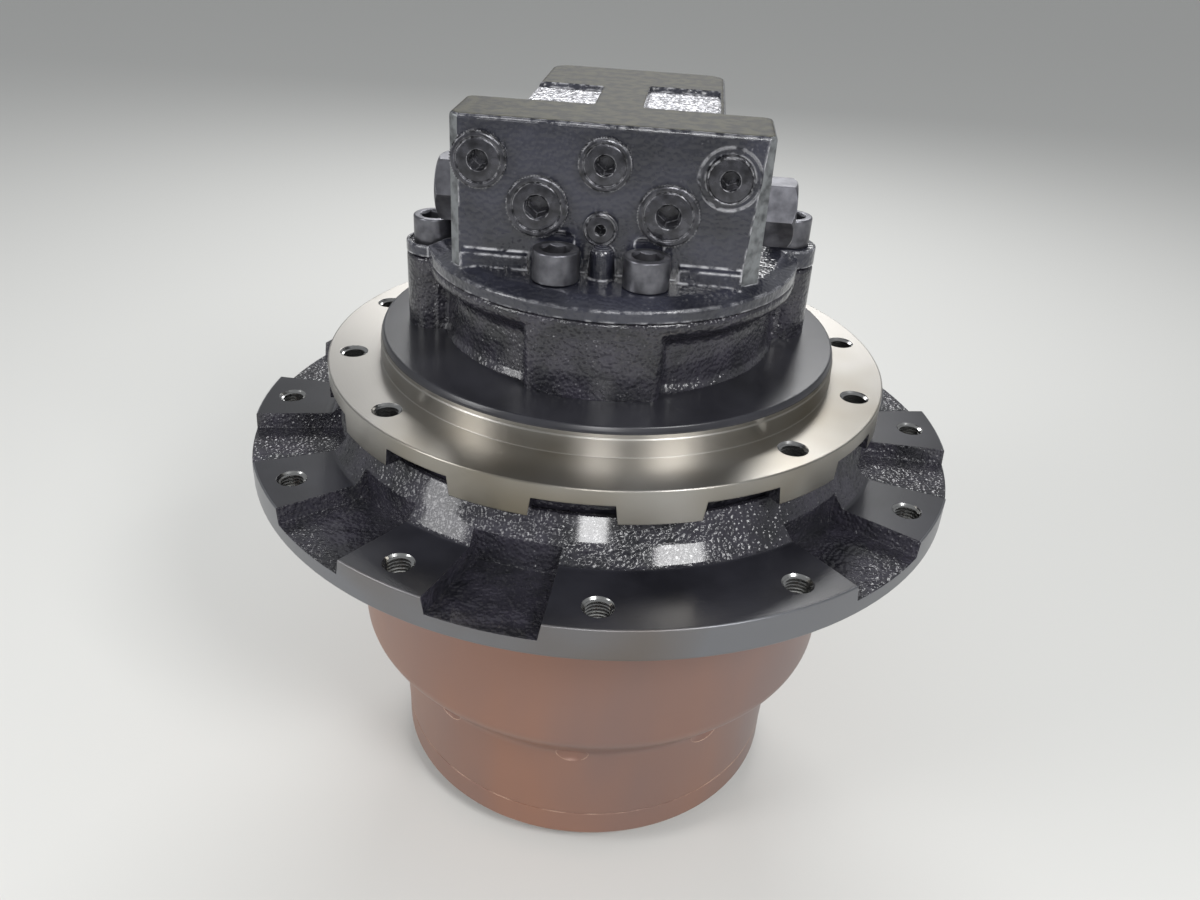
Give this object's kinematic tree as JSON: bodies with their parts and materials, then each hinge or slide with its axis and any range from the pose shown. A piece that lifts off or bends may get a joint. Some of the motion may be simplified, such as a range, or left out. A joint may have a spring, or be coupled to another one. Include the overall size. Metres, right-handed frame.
{
  "type": "excavator final drive",
  "caption": "Tracked machine's travel drive: hydraulic motor and valve block on a fixed spindle, with a planetary gear hub that turns round it and flanges for the frame and the sprocket.",
  "frame": {"origin": "centre of the gearbox cover's flat face, which the drive stands on", "axes": "+Z along the drive's axis, from the gearbox cover towards the motor; the valve block's face looks along -Y"},
  "size_m": [0.4742, 0.4742, 0.4966],
  "materials": {
    "black_paint": "glossy black paint over a sand-cast surface",
    "copper_primer": "thin copper-brown primer on machined iron",
    "black_oxide": "blackened steel fasteners and plugs",
    "machined_steel": "turned or ground bare steel",
    "gear_steel": "hardened gear steel, oiled",
    "bronze": "sintered bronze",
    "cast_iron": "bare cast iron"
  },
  "bodies": {
    "housing": {"spindle": "black_paint", "rear_cover": "black_paint", "plug_top_left": "black_oxide", "plug_top_centre": "black_oxide", "plug_top_right": "black_oxide", "plug_large_left": "black_oxide", "plug_large_right": "black_oxide", "plug_small": "black_oxide", "spool_cap_left": "black_oxide", "spool_cap_right": "black_oxide", "cover_screw_1": "black_oxide", "cover_screw_2": "black_oxide", "cover_screw_3": "black_oxide", "cover_screw_4": "black_oxide", "cover_screw_5": "black_oxide", "cover_screw_6": "black_oxide", "cover_screw_7": "black_oxide", "cover_screw_8": "black_oxide", "second_pin_1": "machined_steel", "second_pin_2": "machined_steel", "second_pin_3": "machined_steel", "second_pin_4": "machined_steel", "bearing_nut": "cast_iron", "bearing_cone_lower": "machined_steel", "bearing_cone_upper": "machined_steel", "seal_ring_spindle": "machined_steel", "shaft_bearing": "machined_steel", "swash_plate": "cast_iron", "valve_plate": "bronze", "brake_plate": "machined_steel"},
    "hub": {"hub_drum": "copper_primer", "gearbox_cover": "copper_primer", "filler_plug": "black_oxide", "level_plug": "black_oxide", "drain_plug": "black_oxide", "bearing_cup_lower": "machined_steel", "bearing_cup_upper": "machined_steel", "seal_ring_hub": "machined_steel"},
    "shaft": {"drive_shaft": "machined_steel", "sun_gear_first": "gear_steel", "cylinder_barrel": "machined_steel", "brake_disc": "bronze"},
    "carrier": {"first_carrier": "cast_iron", "sun_gear_second": "gear_steel", "first_pin_1": "machined_steel", "first_pin_2": "machined_steel", "first_pin_3": "machined_steel"},
    "lower_rollers": {"roller_cage_lower": "gear_steel"},
    "upper_rollers": {"roller_cage_upper": "gear_steel"},
    "brake": {"brake_piston": "cast_iron"},
    "spool": {"counterbalance_spool": "machined_steel"},
    "first_planet_1": {"first_planet_1": "gear_steel"},
    "first_planet_2": {"first_planet_2": "gear_steel"},
    "first_planet_3": {"first_planet_3": "gear_steel"},
    "second_planet_1": {"second_planet_1": "gear_steel"},
    "second_planet_2": {"second_planet_2": "gear_steel"},
    "second_planet_3": {"second_planet_3": "gear_steel"},
    "second_planet_4": {"second_planet_4": "gear_steel"}
  },
  "joints": [
    {"name": "hub_spin", "type": "hinge", "parent": "housing", "child": "hub", "pos_m": [0, 0, 0.15], "axis": [0, 0, 1], "continuous": true},
    {"name": "shaft_spin", "type": "hinge", "parent": "housing", "child": "shaft", "pos_m": [0, 0, 0.25], "axis": [0, 0, 1], "continuous": true},
    {"name": "carrier_spin", "type": "hinge", "parent": "housing", "child": "carrier", "pos_m": [0, 0, 0.08], "axis": [0, 0, 1], "continuous": true},
    {"name": "lower_rollers_spin", "type": "hinge", "parent": "housing", "child": "lower_rollers", "pos_m": [0, 0, 0.166], "axis": [0, 0, 1], "continuous": true},
    {"name": "upper_rollers_spin", "type": "hinge", "parent": "housing", "child": "upper_rollers", "pos_m": [0, 0, 0.237], "axis": [0, 0, 1], "continuous": true},
    {"name": "first_planet_1_spin", "type": "hinge", "parent": "carrier", "child": "first_planet_1", "pos_m": [0, 0.075, 0.052], "axis": [0, 0, 1], "continuous": true},
    {"name": "first_planet_2_spin", "type": "hinge", "parent": "carrier", "child": "first_planet_2", "pos_m": [-0.06495, -0.0375, 0.052], "axis": [0, 0, 1], "continuous": true},
    {"name": "first_planet_3_spin", "type": "hinge", "parent": "carrier", "child": "first_planet_3", "pos_m": [0.06495, -0.0375, 0.052], "axis": [0, 0, 1], "continuous": true},
    {"name": "second_planet_1_spin", "type": "hinge", "parent": "housing", "child": "second_planet_1", "pos_m": [0.05657, 0.05657, 0.11], "axis": [0, 0, 1], "continuous": true},
    {"name": "second_planet_2_spin", "type": "hinge", "parent": "housing", "child": "second_planet_2", "pos_m": [-0.05657, 0.05657, 0.11], "axis": [0, 0, 1], "continuous": true},
    {"name": "second_planet_3_spin", "type": "hinge", "parent": "housing", "child": "second_planet_3", "pos_m": [-0.05657, -0.05657, 0.11], "axis": [0, 0, 1], "continuous": true},
    {"name": "second_planet_4_spin", "type": "hinge", "parent": "housing", "child": "second_planet_4", "pos_m": [0.05657, -0.05657, 0.11], "axis": [0, 0, 1], "continuous": true},
    {"name": "brake_release", "type": "slide", "parent": "housing", "child": "brake", "axis": [0, 0, 1], "range_m": [0, 0.002]},
    {"name": "spool_shift", "type": "slide", "parent": "housing", "child": "spool", "axis": [1, 0, 0], "range_m": [-0.008, 0.008]}
  ],
  "couplings": [
    {"joint": "shaft_spin", "follows": "hub_spin", "ratio": -19},
    {"joint": "carrier_spin", "follows": "hub_spin", "ratio": -3},
    {"joint": "lower_rollers_spin", "follows": "hub_spin", "ratio": 0.5},
    {"joint": "upper_rollers_spin", "follows": "hub_spin", "ratio": 0.5},
    {"joint": "first_planet_1_spin", "follows": "hub_spin", "ratio": 10.667},
    {"joint": "first_planet_2_spin", "follows": "hub_spin", "ratio": 10.667},
    {"joint": "first_planet_3_spin", "follows": "hub_spin", "ratio": 10.667},
    {"joint": "second_planet_1_spin", "follows": "hub_spin", "ratio": 3},
    {"joint": "second_planet_2_spin", "follows": "hub_spin", "ratio": 3},
    {"joint": "second_planet_3_spin", "follows": "hub_spin", "ratio": 3},
    {"joint": "second_planet_4_spin", "follows": "hub_spin", "ratio": 3}
  ]
}
